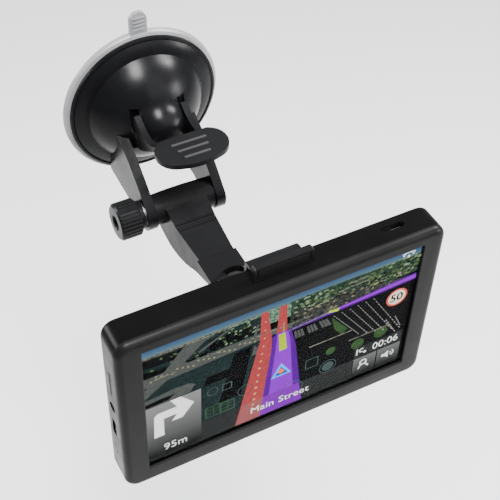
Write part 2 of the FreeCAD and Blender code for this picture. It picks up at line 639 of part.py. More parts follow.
def make_plunger():
    body = new_body("plunger", y="-pad_thickness-0.1")
    sketch = sketch_on(body, "XY_Plane")
    tip = "stem_tip_y+pad_thickness+0.1"
    outline(sketch, [("0", "0"), ("disc_radius", "0"), ("disc_radius", "-disc_thickness"),
                     ("stem_radius+1.2", "-disc_thickness"), ("stem_radius", "-disc_thickness-1.2"),
                     ("stem_radius", tip + "+0.6"), ("stem_radius-0.6", tip), ("0", tip)])
    turn(body, "Revolution", sketch, "V_Axis")
    sketch = sketch_on(body, "YZ_Plane", "0", "pin_y+pad_thickness+0.1", "0")
    circle(sketch, "pin_radius")
    pocket(body, sketch, "2*stem_radius+2", both=True)
    rod("lever_pin", "pin_radius", "2*arm_outer-0.2", ("-arm_outer+0.1", "pin_y", "0"), "x")
    spring_path = doc.addObject("Part::Helix", "spring_path")
    bind(spring_path, Pitch="spring_pitch", Height="spring_length", Radius="spring_radius")
    wire = doc.addObject("Part::Circle", "spring_section")
    bind(wire, Radius="spring_wire")
    wire.Placement = FreeCAD.Placement(FreeCAD.Vector(), FreeCAD.Rotation(FreeCAD.Vector(1, 0, 0), 90))
    bind(wire, Placement__Base__x="spring_radius")
    spring = doc.addObject("Part::Sweep", "plunger_spring")
    spring.Label = "plunger_spring"
    spring.Sections = [wire]
    spring.Spine = (spring_path, ["Edge1"])
    spring.Solid = True
    spring.Frenet = True
    spring.Placement = FreeCAD.Placement(FreeCAD.Vector(), FreeCAD.Rotation(FreeCAD.Vector(1, 0, 0), 90))
    place(spring, y="-pad_thickness-0.1-disc_thickness-spring_wire-0.05")
    parts.append(spring)


# ---------------------------------------------------------------- lock lever

def cam_point(angle):
    """A point of the cam, whose reach grows evenly with the turn, as expressions about the pin."""
    growth = "(plunger_travel/50*180/pi)"
    reach = f"(cam_radius+plunger_travel*{angle}/50)"
    return (f"pin_y+{reach}*cos({angle})-{growth}*sin({angle})",
            f"-{reach}*sin({angle})-{growth}*cos({angle})")


def make_lock_lever():
    body = new_body("lock_lever")
    sketch = sketch_on(body, "YZ_Plane")
    top_end = "paddle_top_z-paddle_thickness"
    outline(sketch, [
        ("pin_y+cam_radius", "0"), cam_point(0) + cam_point(25), cam_point(50),
        ("-24.5", "-4.2"), ("-28.5", "-1.7"), ("-39.9", "6.7"), ("-43.5", top_end),
        ("-43.5", "paddle_top_z"),
        ("-41.5", "11.2", "-29.0", "5.6"), ("-22.4", "8.2"), ("-20.2", "9.4"), ("-19.6", "9.2"),
        ("pin_y+cam_radius-0.3", "3.0"),
    ])
    pad(body, sketch, "2*arm_outer", both=True)
    sketch = sketch_on(body, "XY_Plane")
    inner = "arm_inner"
    outline(sketch, [("-" + inner, "-10"), ("-" + inner, "crossbar_y+3", f"-{inner}+0.88",
                                            "crossbar_y+0.88"),
                     (f"-{inner}+3", "crossbar_y"),
                     (f"{inner}-3", "crossbar_y", f"{inner}-0.88", "crossbar_y+0.88"),
                     (inner, "crossbar_y+3"), (inner, "-10")])
    pocket(body, sketch, "60", both=True)
    # thumb paddle: an oval plate
    wide = "paddle_half_width"
    sketch = sketch_on(body, "XY_Plane", "paddle_top_z")
    outline(sketch, [
        ("-9.5", "-41.5", "-13.0", "-44.0"), ("-" + wide, "-48.8", "-13.2", "-53.8"),
        ("-8.5", "paddle_tip_y+1.5", "0", "paddle_tip_y"), ("8.5", "paddle_tip_y+1.5", "13.2", "-53.8"),
        (wide, "-48.8", "13.0", "-44.0"), ("9.5", "-41.5"),
    ])
    pad(body, sketch, "paddle_thickness", reverse=True)
    sketch = sketch_on(body, "XY_Plane", "paddle_top_z")
    for length, y in (("14.6", "-46.2"), ("12.8", "-50.1"), ("10.8", "-54.0")):
        rounded_rectangle(sketch, length, "rib_width", "rib_width/2-0.01", "0", y)
    pad(body, sketch, "rib_height")
    sketch = sketch_on(body, "YZ_Plane", "0", "pin_y", "0")
    circle(sketch, "pin_radius+0.05")
    pocket(body, sketch, "2*arm_outer+2", both=True)


# ---------------------------------------------------------------- tilt clamp

def make_clamp():
    knob = new_body("clamp_knob", "knob_outer_x", "hinge_y", "hinge_z")
    grip = "knob_inner_x-knob_outer_x"
    collar = "-fork_outer-washer_thickness-knob_outer_x"
    sketch = sketch_on(knob, "XY_Plane")
    outline(sketch, [
        ("1.8", "0"), ("1.8", "2.5"), ("0.5", "2.9"), ("0", "3.4"), ("0", "knob_radius-0.9"),
        ("0.9", "knob_radius"),
        (grip + "-0.8", "knob_radius"), (grip, "knob_radius-0.8"), (grip, "collar_radius"),
        (collar, "collar_radius"),
        (collar, "0"),
    ])
    turn(knob, "Revolution", sketch, "H_Axis")
    sketch = sketch_on(knob, "YZ_Plane")
    circle(sketch, "knurl_radius", "0", "knob_radius+0.1")
    groove = pocket(knob, sketch, grip, reverse=True)
    pattern = knob.newObject("PartDesign::PolarPattern", "knurl")
    pattern.Originals = [groove]
    pattern.Axis = (next(f for f in knob.Origin.OriginFeatures if f.Role == "X_Axis"), [""])
    pattern.Angle = 360
    bind(pattern, Occurrences="knurl_count")
    knob.Tip = pattern
    doc.recompute()
    sketch = sketch_on(knob, "YZ_Plane", "1.8")
    circle(sketch, "bolt_radius")
    pocket(knob, sketch, collar, reverse=True)
    washer = rod("washer_disc", "collar_radius-0.5", "washer_thickness",
                 ("-fork_outer-washer_thickness", "hinge_y", "hinge_z"), "x", listed=False)
    hole = rod("washer_hole", "bolt_radius+0.02", "washer_thickness+2",
               ("-fork_outer-washer_thickness-1", "hinge_y", "hinge_z"), "x", listed=False)
    minus("clamp_washer", washer, hole)
    rod("clamp_bolt", "bolt_radius", "fork_outer-0.3-knob_outer_x-1.8",
        ("knob_outer_x+1.8", "hinge_y", "hinge_z"), "x")
    nut = new_body("clamp_nut", "fork_outer-nut_thickness", "hinge_y", "hinge_z")
    sketch = sketch_on(nut, "YZ_Plane")
    hexagon(sketch, "nut_flats")
    circle(sketch, "bolt_radius+0.02")
    pad(nut, sketch, "nut_thickness-0.1")


# ---------------------------------------------------------------- extension arm and ball joint

SOCKET_INNER = "(ball_radius+liner_thickness+2*joint_gap)"
SOCKET_OUTER = f"({SOCKET_INNER}+socket_wall)"


def make_socket_head(body, y, z):
    """The ball socket: a spherical shell, open to the front. y and z are the ball's place in the body."""
    edge = f"sqrt({SOCKET_OUTER}^2-mouth_depth^2)"
    sketch = sketch_on(body, "YZ_Plane", "0", y, z)
    outline(sketch, [("-mouth_depth", "0"), ("-mouth_depth", edge, "0", SOCKET_OUTER),
                     (SOCKET_OUTER, "0")])
    turn(body, "Revolution", sketch, "H_Axis")
    edge = f"sqrt({SOCKET_INNER}^2-mouth_depth^2)"
    sketch = sketch_on(body, "YZ_Plane", "0", y, z)
    outline(sketch, [("-mouth_depth-1", "0"), ("-mouth_depth-1", edge + "+0.6"),
                     ("-mouth_depth", edge, "0", SOCKET_INNER), (SOCKET_INNER, "0")])
    turn(body, "Groove", sketch, "H_Axis")


def make_extension_arm():
    body = new_body("extension_arm", y="hinge_y", z="hinge_z")
    ball_y, ball_z = "ball_y-hinge_y", "ball_z-hinge_z"
    # barrel with a slight crown
    sketch = sketch_on(body, "XY_Plane")
    reach, ring = "barrel_half_length", "barrel_radius-0.4"
    outline(sketch, [("-" + reach, "0"), ("-" + reach, ring, "0", "barrel_radius"), (reach, ring),
                     (reach, "0")])
    turn(body, "Revolution", sketch, "H_Axis")
    # beam, its belly deep under the barrel and shallow at the socket
    sketch = sketch_on(body, "YZ_Plane")
    outline(sketch, [
        ("1.5", "5.6"), ("-7.0", "3.4"), ("-14.1", "0.6"), ("-31.3", "-0.6"), ("-32.6", "-0.62"),
        ("-32.6", ball_z), ("-46.5", ball_z), ("-46.5", "-6.4"), ("-42.5", "-6.0"),
        ("-27.9", "-10.4", "-16.0", "-13.8"),
        ("-2.0", "-12.4", "4.2", "-9.4"), ("5.6", "-2.0"),
    ])
    pad(body, sketch, "2*root_half_width", both=True)
    # its sides taper from the barrel to the waist
    for side in ("", "-"):
        sketch = sketch_on(body, "XY_Plane")
        outline(sketch, [
            (side + "(root_half_width+1)", "-8"), (side + "root_half_width", "-8"),
            (side + "(root_half_width-0.4)", "-16"), (side + "waist_half_width", "-31.3"),
            (side + "waist_half_width", "-48"), (side + "(root_half_width+1)", "-48"),
        ])
        pocket(body, sketch, "60", both=True)
    # two raised lines across the top
    sketch = sketch_on(body, "YZ_Plane")
    for y, z in ((-13.0, 0.9), (-15.6, 0.35)):
        rectangle(sketch, "0.9", "1.0", f"{y}", f"{z}")
    pad(body, sketch, "2*(root_half_width-1.2)", both=True)
    make_socket_head(body, ball_y, ball_z)
    # the upper half of the socket is the cap's
    sketch = sketch_on(body, "YZ_Plane")
    outline(sketch, [("cap_back_y-hinge_y+0.05", ball_z), ("-62", ball_z), ("-62", "12"),
                     ("cap_back_y-hinge_y+0.05", "12")])
    pocket(body, sketch, "2*(root_half_width+3)", both=True)
    sketch = sketch_on(body, "XY_Plane", "-14")
    for side in ("", "-"):
        circle(sketch, "1.05", side + "4.6", "-36.8")
    pocket(body, sketch, "20", reverse=True)
    sketch = sketch_on(body, "YZ_Plane")
    circle(sketch, "bolt_radius+0.06")
    pocket(body, sketch, "2*barrel_half_length+2", both=True)
    for side in ("", "-"):
        sketch = sketch_on(body, "XY_Plane", "-6.3")
        circle(sketch, "2.0", side + "4.6", "-36.8")
        pocket(body, sketch, "8")


def make_socket_cap():
    body = new_body("socket_cap", y="ball_y", z="ball_z")
    rear = "cap_back_y-ball_y"
    sketch = sketch_on(body, "YZ_Plane")
    outline(sketch, [("2", "0"), (rear, "0"), (rear, "1.45"), ("2", "1.0")])
    pad(body, sketch, "2*cap_half_width", both=True)
    make_socket_head(body, "0", "0")
    sketch = sketch_on(body, "YZ_Plane")
    rectangle(sketch, "60", "20", "0", "-10")
    pocket(body, sketch, "40", both=True)
    # notch over the ball, open to the front
    sketch = sketch_on(body, "XY_Plane")
    rectangle(sketch, "2*notch_half_width", "notch_back_y-ball_y+12", "0", "(notch_back_y-ball_y-12)/2")
    pocket(body, sketch, "20", reverse=True)
    for side in ("", "-"):
        sketch = sketch_on(body, "XY_Plane")
        circle(sketch, "0.95", side + "4.6", "hinge_y-36.8-ball_y")
        pocket(body, sketch, "1.1", reverse=True)
    screws = [screw(f"socket_screw_{index}", "1.9", "0.8", "0.9", "4.6",
                    (side + "4.6", "hinge_y-36.8", "hinge_z-7.1"), "z", 1)
              for index, side in enumerate(("", "-"))]
    joined("socket_screws", "Part::Compound", screws)


def make_ball_joint():
    liner = new_body("ball_liner", y="ball_y", z="ball_z")
    outer = "(ball_radius+joint_gap+liner_thickness)"
    inner = "(ball_radius+joint_gap)"
    sketch = sketch_on(liner, "YZ_Plane")
    lip = "mouth_depth-0.3"
    outline(sketch, [
        (f"-({lip})", f"sqrt({inner}^2-({lip})^2)"),
        (f"-({lip})", f"sqrt({outer}^2-({lip})^2)", "0", outer),
        (f"{outer}*cos(30)", f"{outer}*sin(30)"), (f"{inner}*cos(30)", f"{inner}*sin(30)", "0", inner),
    ])
    turn(liner, "Revolution", sketch, "H_Axis")
    ball = new_body("ball", y="ball_y", z="ball_z")
    sketch = sketch_on(ball, "YZ_Plane")
    bore = "(stud_pin_radius+stem_gap)"
    end = f"sqrt(ball_radius^2-{bore}^2)"
    outline(sketch, [("-" + end, bore, "0", "ball_radius"), (end, bore)])
    turn(ball, "Revolution", sketch, "H_Axis")
    stud = new_body("cradle_stud", y="ball_y", z="ball_z")
    flange = BODY_BACK + "+plate_gap+plate_thickness-ball_y"
    sketch = sketch_on(stud, "YZ_Plane")
    outline(sketch, [
        ("4.6", "0"), ("4.6", "stud_pin_radius-0.4"), ("4.2", "stud_pin_radius"),
        ("-5.9", "stud_pin_radius"),
        ("-5.9", "neck_radius"), ("-9.5", "neck_radius"), ("-15.5", "neck_radius+2.2"),
        (flange + "+stud_flange_thickness", "neck_radius+3.6"),
        (flange + "+stud_flange_thickness", "stud_flange_radius"),
        (flange, "stud_flange_radius"), (flange, "0"),
    ])
    turn(stud, "Revolution", sketch, "H_Axis")
    sketch = sketch_on(stud, "XZ_Plane", "-(" + flange + ")")
    for x, z in CRADLE_SCREWS:
        circle(sketch, "1.1", x, z)
    pocket(stud, sketch, "6")


CRADLE_SCREWS = [("5.9*" + a, "5.9*" + b) for a, b in (("1", "1"), ("-1", "1"), ("-1", "-1"),
                                                       ("1", "-1"))]


# ---------------------------------------------------------------- cradle

def make_cradle():
    body = new_body("cradle_plate", "cradle_mid_x", BODY_BACK + "+plate_gap",
                    "(plate_top_z+plate_bottom_z)/2")
    middle = "(plate_top_z+plate_bottom_z)/2"
    sketch = sketch_on(body, "XZ_Plane")
    rounded_rectangle(sketch, "plate_width", "plate_top_z-plate_bottom_z", "5")
    pad(body, sketch, "plate_thickness", reverse=True)
    dress(body, "Fillet", "0.8", on_level("y", "plate_thickness"))
    # slot that the latch bends in
    sketch = sketch_on(body, "XZ_Plane")
    half = "(latch_half_width+latch_gap)"
    low = f"latch_root_z-latch_gap-1.4-({middle})"
    outline(sketch, [("-" + half, low), (half, low), (half, "60"), ("-" + half, "60")])
    pocket(body, sketch, "plate_thickness+1")
    # tongues that enter the housing's recesses
    sketch = sketch_on(body, "XZ_Plane")
    for side in ("", "-"):
        rectangle(sketch, "6.0", "2.6", side + "tongue_x", f"tongue_z-({middle})")
    pad(body, sketch, "plate_gap+0.9")
    # stiffening ribs down both edges of the back
    sketch = sketch_on(body, "XZ_Plane", "-plate_thickness")
    for side in ("", "-"):
        rounded_rectangle(sketch, "1.8", "plate_top_z-plate_bottom_z-14", "0.8",
                          side + "(plate_width/2-3)")
    pad(body, sketch, "1.2", reverse=True)
    sketch = sketch_on(body, "XZ_Plane", "-plate_thickness")
    for x, z in CRADLE_SCREWS:
        circle(sketch, "0.9", x + "-cradle_mid_x", f"{z}+ball_z-({middle})")
    pocket(body, sketch, "plate_thickness-0.4", reverse=True)
    screws = [screw(f"cradle_screw_{index}", "1.7", "1.0", "0.88", "4.6",
                    (x, BODY_BACK + "+plate_gap+plate_thickness+stud_flange_thickness+1.0",
                     f"{z}+ball_z"), "y", -1)
              for index, (x, z) in enumerate(CRADLE_SCREWS)]
    joined("cradle_screws", "Part::Compound", screws)


def make_latch():
    body = new_body("cradle_latch", "cradle_mid_x", BODY_BACK + "+plate_gap+0.3", "latch_root_z")
    top = "body_mid_z+body_height/2+hook_gap-latch_root_z"
    front = "thumb_front_y-(" + BODY_BACK + "+plate_gap+0.3)"
    peak = "thumb_top_z-latch_root_z"
    sketch = sketch_on(body, "YZ_Plane")
    outline(sketch, [
        ("0", "0", "latch_thickness/2", "-latch_thickness/2"), ("latch_thickness", "0"),
        ("latch_thickness", top + "+0.6", "latch_thickness-0.5", top + "+hook_thickness-0.5"),
        ("latch_thickness-1.6", top + "+hook_thickness"),
        (front + "+thumb_thickness+0.8", top + "+hook_thickness"),
        (front + "+thumb_thickness", top + "+hook_thickness+0.8"),
        (front + "+thumb_thickness", peak), (front, peak), (front, top), ("0", top),
    ])
    pad(body, sketch, "2*latch_half_width", both=True)
    sketch = sketch_on(body, "XZ_Plane", "-(" + front + ")")
    wide = "tab_half_width"
    outline(sketch, [
        ("-" + wide, top), (wide, top), (wide, peak + "-1.6", f"{wide}-0.47", peak + "-0.47"),
        (f"{wide}-1.6", peak), (f"-{wide}+1.6", peak, f"-{wide}+0.47", peak + "-0.47"),
        ("-" + wide, peak + "-1.6"),
    ])
    pad(body, sketch, "thumb_thickness", reverse=True)
    # groove round the front of the thumb tab
    sketch = sketch_on(body, "XZ_Plane", "-(" + front + ")")
    deep = f"({peak}-({top}))"
    rectangle(sketch, f"2*{wide}-2.4", deep + "-1.6", "0", f"{top}+{deep}/2-0.2")
    rectangle(sketch, f"2*{wide}-3.4", deep + "-2.6", "0", f"{top}+{deep}/2-0.2")
    pocket(body, sketch, "0.3")


make_front_bezel()
make_rear_cover()
make_display()
make_electronics()
make_power_slider()
make_sockets()
make_case_screws()
make_suction_pad()
make_base_cover()
make_plunger()
make_lock_lever()
make_clamp()
make_extension_arm()
make_socket_cap()
make_ball_joint()
make_cradle()
make_latch()

# ---------------------------------------------------------------- checks and files

doc.recompute()
for thing in doc.Objects:
    for state in thing.State:
        if state in ("Invalid", "Error"):
            raise RuntimeError(f"{thing.Label} is {state}")
os.makedirs("parts", exist_ok=True)
for part in parts:
    if part.Shape.isNull() or not part.Shape.isValid():
        raise RuntimeError(f"{part.Label} has no valid shape")
    part.Shape.exportStep(f"parts/{part.Label}.step")
    print(f"{part.Label}: {len(part.Shape.Solids)} solid(s), {part.Shape.Volume:.1f} mm3")
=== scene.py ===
import json
import math
import random

import bmesh
import bpy
from mathutils import Matrix, Vector


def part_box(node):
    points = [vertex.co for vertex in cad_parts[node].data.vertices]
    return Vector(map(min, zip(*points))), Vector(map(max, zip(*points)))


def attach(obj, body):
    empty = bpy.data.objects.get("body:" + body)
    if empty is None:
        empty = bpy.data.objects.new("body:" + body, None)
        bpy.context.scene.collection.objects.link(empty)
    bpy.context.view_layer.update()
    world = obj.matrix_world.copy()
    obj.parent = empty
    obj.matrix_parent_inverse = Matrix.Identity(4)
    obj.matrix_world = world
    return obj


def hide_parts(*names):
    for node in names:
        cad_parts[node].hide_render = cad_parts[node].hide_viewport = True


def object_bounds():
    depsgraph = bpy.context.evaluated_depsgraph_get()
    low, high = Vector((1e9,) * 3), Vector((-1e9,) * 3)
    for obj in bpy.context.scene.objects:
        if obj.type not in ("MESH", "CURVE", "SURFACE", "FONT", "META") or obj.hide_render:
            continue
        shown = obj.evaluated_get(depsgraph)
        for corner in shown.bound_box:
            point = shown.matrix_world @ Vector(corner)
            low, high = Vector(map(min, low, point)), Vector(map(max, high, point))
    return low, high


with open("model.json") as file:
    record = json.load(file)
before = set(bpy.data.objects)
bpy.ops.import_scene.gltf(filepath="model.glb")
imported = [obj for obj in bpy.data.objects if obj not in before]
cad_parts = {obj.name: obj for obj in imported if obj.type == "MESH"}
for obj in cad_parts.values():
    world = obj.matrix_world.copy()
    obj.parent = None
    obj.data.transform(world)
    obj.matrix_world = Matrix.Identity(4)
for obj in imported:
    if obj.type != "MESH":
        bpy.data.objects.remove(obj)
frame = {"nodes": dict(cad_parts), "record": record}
cad_box = [list(corner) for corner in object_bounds()]

MM = 0.001
NODES = frame["nodes"]
BODY_OF = {node: body for body, nodes in frame["record"]["behaviour"]["bodies"].items() for node in nodes}


# ---------------------------------------------------------------- camera, floor and light

def make_camera():
    """Above and to the left of the screen, looking 46 degrees down."""
    right = Vector((0.8857, -0.4635, 0.0261))
    up = Vector((0.3200, 0.6503, 0.6890))
    back = right.cross(up)
    data = bpy.data.cameras.new("camera")
    data.sensor_width = 36.0
    data.lens = 79.17
    data.clip_start = 0.01
    camera = bpy.data.objects.new("camera", data)
    axes = Matrix((right, up, back)).transposed().to_4x4()
    camera.matrix_world = Matrix.Translation((-0.13203, -0.33288, 0.28536)) @ axes
    bpy.context.scene.collection.objects.link(camera)
    bpy.context.scene.camera = camera


def make_floor():
    mesh = bpy.data.meshes.new("floor")
    half = 15.0
    level = cad_box[0][2] - 0.30
    corners = [(-half, -half, level), (half, -half, level), (half, half, level), (-half, half, level)]
    mesh.from_pydata(corners, [], [(0, 1, 2, 3)])
    floor = bpy.data.objects.new("floor", mesh)
    bpy.context.scene.collection.objects.link(floor)
    material = bpy.data.materials.new("floor_paper")
    material.use_nodes = True
    shader = material.node_tree.nodes["Principled BSDF"]
    shader.inputs["Base Color"].default_value = (0.62, 0.62, 0.62, 1)
    shader.inputs["Roughness"].default_value = 0.9
    shader.inputs["Specular IOR Level"].default_value = 0.0
    mesh.materials.append(material)


def area_light(name, place, target, size, power, size_y=None):
    data = bpy.data.lights.new(name, "AREA")
    data.shape = "RECTANGLE"
    data.size = size
    data.size_y = size_y or size
    data.energy = power
    light = bpy.data.objects.new(name, data)
    light.location = place
    light.rotation_euler = (Vector(target) - Vector(place)).to_track_quat("-Z", "Y").to_euler()
    bpy.context.scene.collection.objects.link(light)


def make_light():
    world = bpy.data.worlds.new("soft_studio")
    bpy.context.scene.world = world
    world.use_nodes = True
    world.node_tree.nodes["Background"].inputs["Color"].default_value = (0.9, 0.95, 1.0, 1)
    world.node_tree.nodes["Background"].inputs["Strength"].default_value = 0.55
    dome = (0, -0.01, 0.01)
    area_light("overhead", (-0.06, -0.36, 0.90), dome, 0.26, 42, 0.46)
    area_light("right_high", (0.72, -0.12, 0.62), dome, 0.20, 24, 0.34)
    area_light("right_low", (0.78, -0.56, 0.14), dome, 0.22, 9)
    area_light("left_rim", (-0.75, 0.60, 0.30), (-0.05, -0.11, 0), 0.30, 16)
    area_light("front_wall", (0.45, -1.05, 0.72), (0, -0.12, 0), 0.9, 9)


# ---------------------------------------------------------------- materials

MATERIALS = {}


def new_material(name):
    material = bpy.data.materials.new(name)
    material.use_nodes = True
    MATERIALS[name] = material
    return material, material.node_tree, material.node_tree.nodes["Principled BSDF"]


def noise(tree, scale, detail=3.0, stretch=None):
    """Noise in the piece's own coordinates, in metres; stretch squeezes it along the axes."""
    place = tree.nodes.new("ShaderNodeTexCoord")
    texture = tree.nodes.new("ShaderNodeTexNoise")
    texture.inputs["Scale"].default_value = scale
    texture.inputs["Detail"].default_value = detail
    if stretch:
        mapping = tree.nodes.new("ShaderNodeMapping")
        mapping.inputs["Scale"].default_value = stretch
        tree.links.new(place.outputs["Object"], mapping.inputs["Vector"])
        tree.links.new(mapping.outputs["Vector"], texture.inputs["Vector"])
    else:
        tree.links.new(place.outputs["Object"], texture.inputs["Vector"])
    return texture.outputs["Fac"]


def spread(tree, source, low, high, start=0.3, end=0.7):
    """Maps a noise value to the range low to high."""
    node = tree.nodes.new("ShaderNodeMapRange")
    node.inputs["From Min"].default_value = start
    node.inputs["From Max"].default_value = end
    node.inputs["To Min"].default_value = low
    node.inputs["To Max"].default_value = high
    tree.links.new(source, node.inputs["Value"])
    return node.outputs["Result"]


def tint(tree, source, dark, light, stops=(0.35, 0.65)):
    """A colour between two tones, by a value from 0 to 1."""
    ramp = tree.nodes.new("ShaderNodeValToRGB")
    ramp.color_ramp.elements[0].position = stops[0]
    ramp.color_ramp.elements[1].position = stops[1]
    ramp.color_ramp.elements[0].color = (*dark, 1)
    ramp.color_ramp.elements[1].color = (*light, 1)
    tree.links.new(source, ramp.inputs["Fac"])
    return ramp.outputs["Color"]


def bump(tree, shader, layers):
    """Stacks bumps, each (height source, depth in metres)."""
    previous = None
    for source, depth in layers:
        node = tree.nodes.new("ShaderNodeBump")
        node.inputs["Strength"].default_value = 1.0
        node.inputs["Distance"].default_value = depth
        tree.links.new(source, node.inputs["Height"])
        if previous:
            tree.links.new(previous, node.inputs["Normal"])
        previous = node.outputs["Normal"]
    tree.links.new(previous, shader.inputs["Normal"])


def plastic(name, tone, roughness, grain=2600.0, depth=0.000012, specular=0.5):
    """Moulded plastic: fine spark-eroded grain, slow changes of tone and rubbed, shinier patches."""
    material, tree, shader = new_material(name)
    slow = noise(tree, 55.0, 4.0)
    dark = tuple(channel * 0.88 for channel in tone)
    light = tuple(channel * 1.12 for channel in tone)
    tree.links.new(tint(tree, slow, dark, light), shader.inputs["Base Color"])
    rub = noise(tree, 140.0, 6.0)
    tree.links.new(spread(tree, rub, roughness - 0.05, roughness + 0.05), shader.inputs["Roughness"])
    bump(tree, shader, [(noise(tree, grain, 2.0), depth)])
    shader.inputs["Specular IOR Level"].default_value = specular
    return material


def metal(name, tone, roughness, stretch):
    """Plated steel with drawn or turned lines along one axis."""
    material, tree, shader = new_material(name)
    lines = noise(tree, 900.0, 4.0, stretch)
    stain = noise(tree, 90.0, 4.0)
    tree.links.new(tint(tree, stain, tuple(c * 0.85 for c in tone), tone), shader.inputs["Base Color"])
    tree.links.new(spread(tree, lines, roughness - 0.08, roughness + 0.1), shader.inputs["Roughness"])
    bump(tree, shader, [(lines, 0.000008)])
    shader.inputs["Metallic"].default_value = 1.0
    return material


def make_materials():
    plastic("bezel_plastic", (0.0048, 0.0048, 0.0048), 0.36, depth=0.000008, specular=0.05)
    plastic("cover_plastic", (0.0018, 0.0018, 0.0018), 0.32, depth=0.000008, specular=0.04)
    plastic("mount_plastic", (0.0050, 0.0050, 0.0053), 0.30, depth=0.000006, specular=0.05)
    plastic("dome_plastic", (0.0026, 0.0026, 0.003), 0.28, depth=0.000002, specular=0.08)
    plastic("knob_plastic", (0.0045, 0.0045, 0.0048), 0.32, specular=0.06)
    plastic("latch_plastic", (0.004, 0.004, 0.0042), 0.34, specular=0.08)
    # painted highlight: the paddle's ribs get a lighter grey and more shine, standing in for the key light on
    # their tops
    plastic("rib_highlight_plastic", (0.020, 0.020, 0.020), 0.36, specular=0.3)
    plastic("liner_nylon", (0.012, 0.012, 0.013), 0.35)
    plastic("chip_resin", (0.02, 0.02, 0.021), 0.5)
    plastic("ceramic_body", (0.50, 0.46, 0.38), 0.55, grain=1200.0, depth=0.00002)
    plastic("socket_dark", (0.004, 0.004, 0.004), 0.5)
    metal("plated_steel", (0.30, 0.30, 0.31), 0.3, (1.0, 12.0, 12.0))
    metal("black_screw", (0.03, 0.03, 0.03), 0.4, (6.0, 6.0, 1.0))
    metal("battery_pouch", (0.5, 0.5, 0.52), 0.35, (1.0, 1.0, 3.0))
    make_board_material()
    make_flex_material()
    make_pad_material()
    make_glass_material()


def make_board_material():
    """Green solder mask over copper tracks."""
    material, tree, shader = new_material("solder_mask")
    place = tree.nodes.new("ShaderNodeTexCoord")
    bricks = tree.nodes.new("ShaderNodeTexVoronoi")
    bricks.distance = "MANHATTAN"
    bricks.feature = "F1"
    bricks.inputs["Scale"].default_value = 260.0
    tree.links.new(place.outputs["Object"], bricks.inputs["Vector"])
    tracks = spread(tree, bricks.outputs["Distance"], 0.0, 1.0, 0.25, 0.3)
    tree.links.new(tint(tree, tracks, (0.012, 0.10, 0.035), (0.02, 0.20, 0.07)), shader.inputs["Base Color"])
    bump(tree, shader, [(tracks, 0.00003)])
    shader.inputs["Roughness"].default_value = 0.3


def make_flex_material():
    """Amber film with fine copper lines along it."""
    material, tree, shader = new_material("polyimide")
    place = tree.nodes.new("ShaderNodeTexCoord")
    wave = tree.nodes.new("ShaderNodeTexWave")
    wave.inputs["Scale"].default_value = 600.0
    tree.links.new(place.outputs["Object"], wave.inputs["Vector"])
    tree.links.new(tint(tree, wave.outputs["Fac"], (0.45, 0.16, 0.02), (0.75, 0.34, 0.06)),
                   shader.inputs["Base Color"])
    shader.inputs["Roughness"].default_value = 0.28


def make_pad_material():
    """Soft clear vinyl that has gone slightly grey, with a matt skin."""
    material, tree, shader = new_material("pad_vinyl")
    cloud = noise(tree, 70.0, 5.0)
    tree.links.new(tint(tree, cloud, (0.16, 0.16, 0.165), (0.22, 0.22, 0.225)), shader.inputs["Base Color"])
    tree.links.new(spread(tree, noise(tree, 260.0, 5.0), 0.34, 0.5), shader.inputs["Roughness"])
    bump(tree, shader, [(noise(tree, 1500.0, 2.0), 0.00001)])
    shader.inputs["Subsurface Weight"].default_value = 0.25
    shader.inputs["Subsurface Radius"].default_value = (0.004, 0.004, 0.004)
    shader.inputs["Subsurface Scale"].default_value = 0.5
    shader.inputs["Transmission Weight"].default_value = 0.25
    shader.inputs["IOR"].default_value = 1.45


def make_glass_material():
    """Clear touch glass; faint finger marks only take a little of its clearness."""
    material, tree, shader = new_material("touch_glass")
    marks = noise(tree, 60.0, 6.0)
    tree.links.new(tint(tree, marks, (1.0, 1.0, 1.0), (0.97, 0.975, 0.98)), shader.inputs["Base Color"])
    shader.inputs["Roughness"].default_value = 0.0
    shader.inputs["Transmission Weight"].default_value = 1.0
    shader.inputs["IOR"].default_value = 1.04
    shader.inputs["Specular IOR Level"].default_value = 0.4


NODE_MATERIAL = {
    "front_bezel": "bezel_plastic", "rear_cover": "cover_plastic", "lcd_frame": "plated_steel",
    "lcd_panel": "socket_dark", "display_flex": "polyimide", "main_board": "solder_mask",
    "processor_chip": "chip_resin", "memory_chips": "chip_resin", "shield_can": "plated_steel",
    "battery": "battery_pouch", "gps_antenna": "ceramic_body", "speaker": "chip_resin",
    "slide_switch": "plated_steel", "headphone_jack": "socket_dark", "usb_port": "plated_steel",
    "card_slot": "plated_steel", "case_screws": "black_screw", "power_slider": "cover_plastic",
    "memory_card": "chip_resin", "suction_pad": "pad_vinyl", "base_cover": "dome_plastic",
    "clamp_nut": "plated_steel", "plunger": "mount_plastic", "plunger_spring": "plated_steel",
    "lever_pin": "plated_steel", "lock_lever": "mount_plastic", "clamp_knob": "knob_plastic",
    "clamp_bolt": "plated_steel", "clamp_washer": "plated_steel", "extension_arm": "mount_plastic",
    "socket_cap": "mount_plastic", "socket_screws": "black_screw", "ball_liner": "liner_nylon",
    "ball": "liner_nylon", "cradle_stud": "mount_plastic", "cradle_plate": "mount_plastic",
    "cradle_screws": "black_screw", "cradle_latch": "latch_plastic", "touch_panel": "touch_glass",
}


# ---------------------------------------------------------------- skins over the CAD solids

PADDLE_TOP = 12.8 * MM


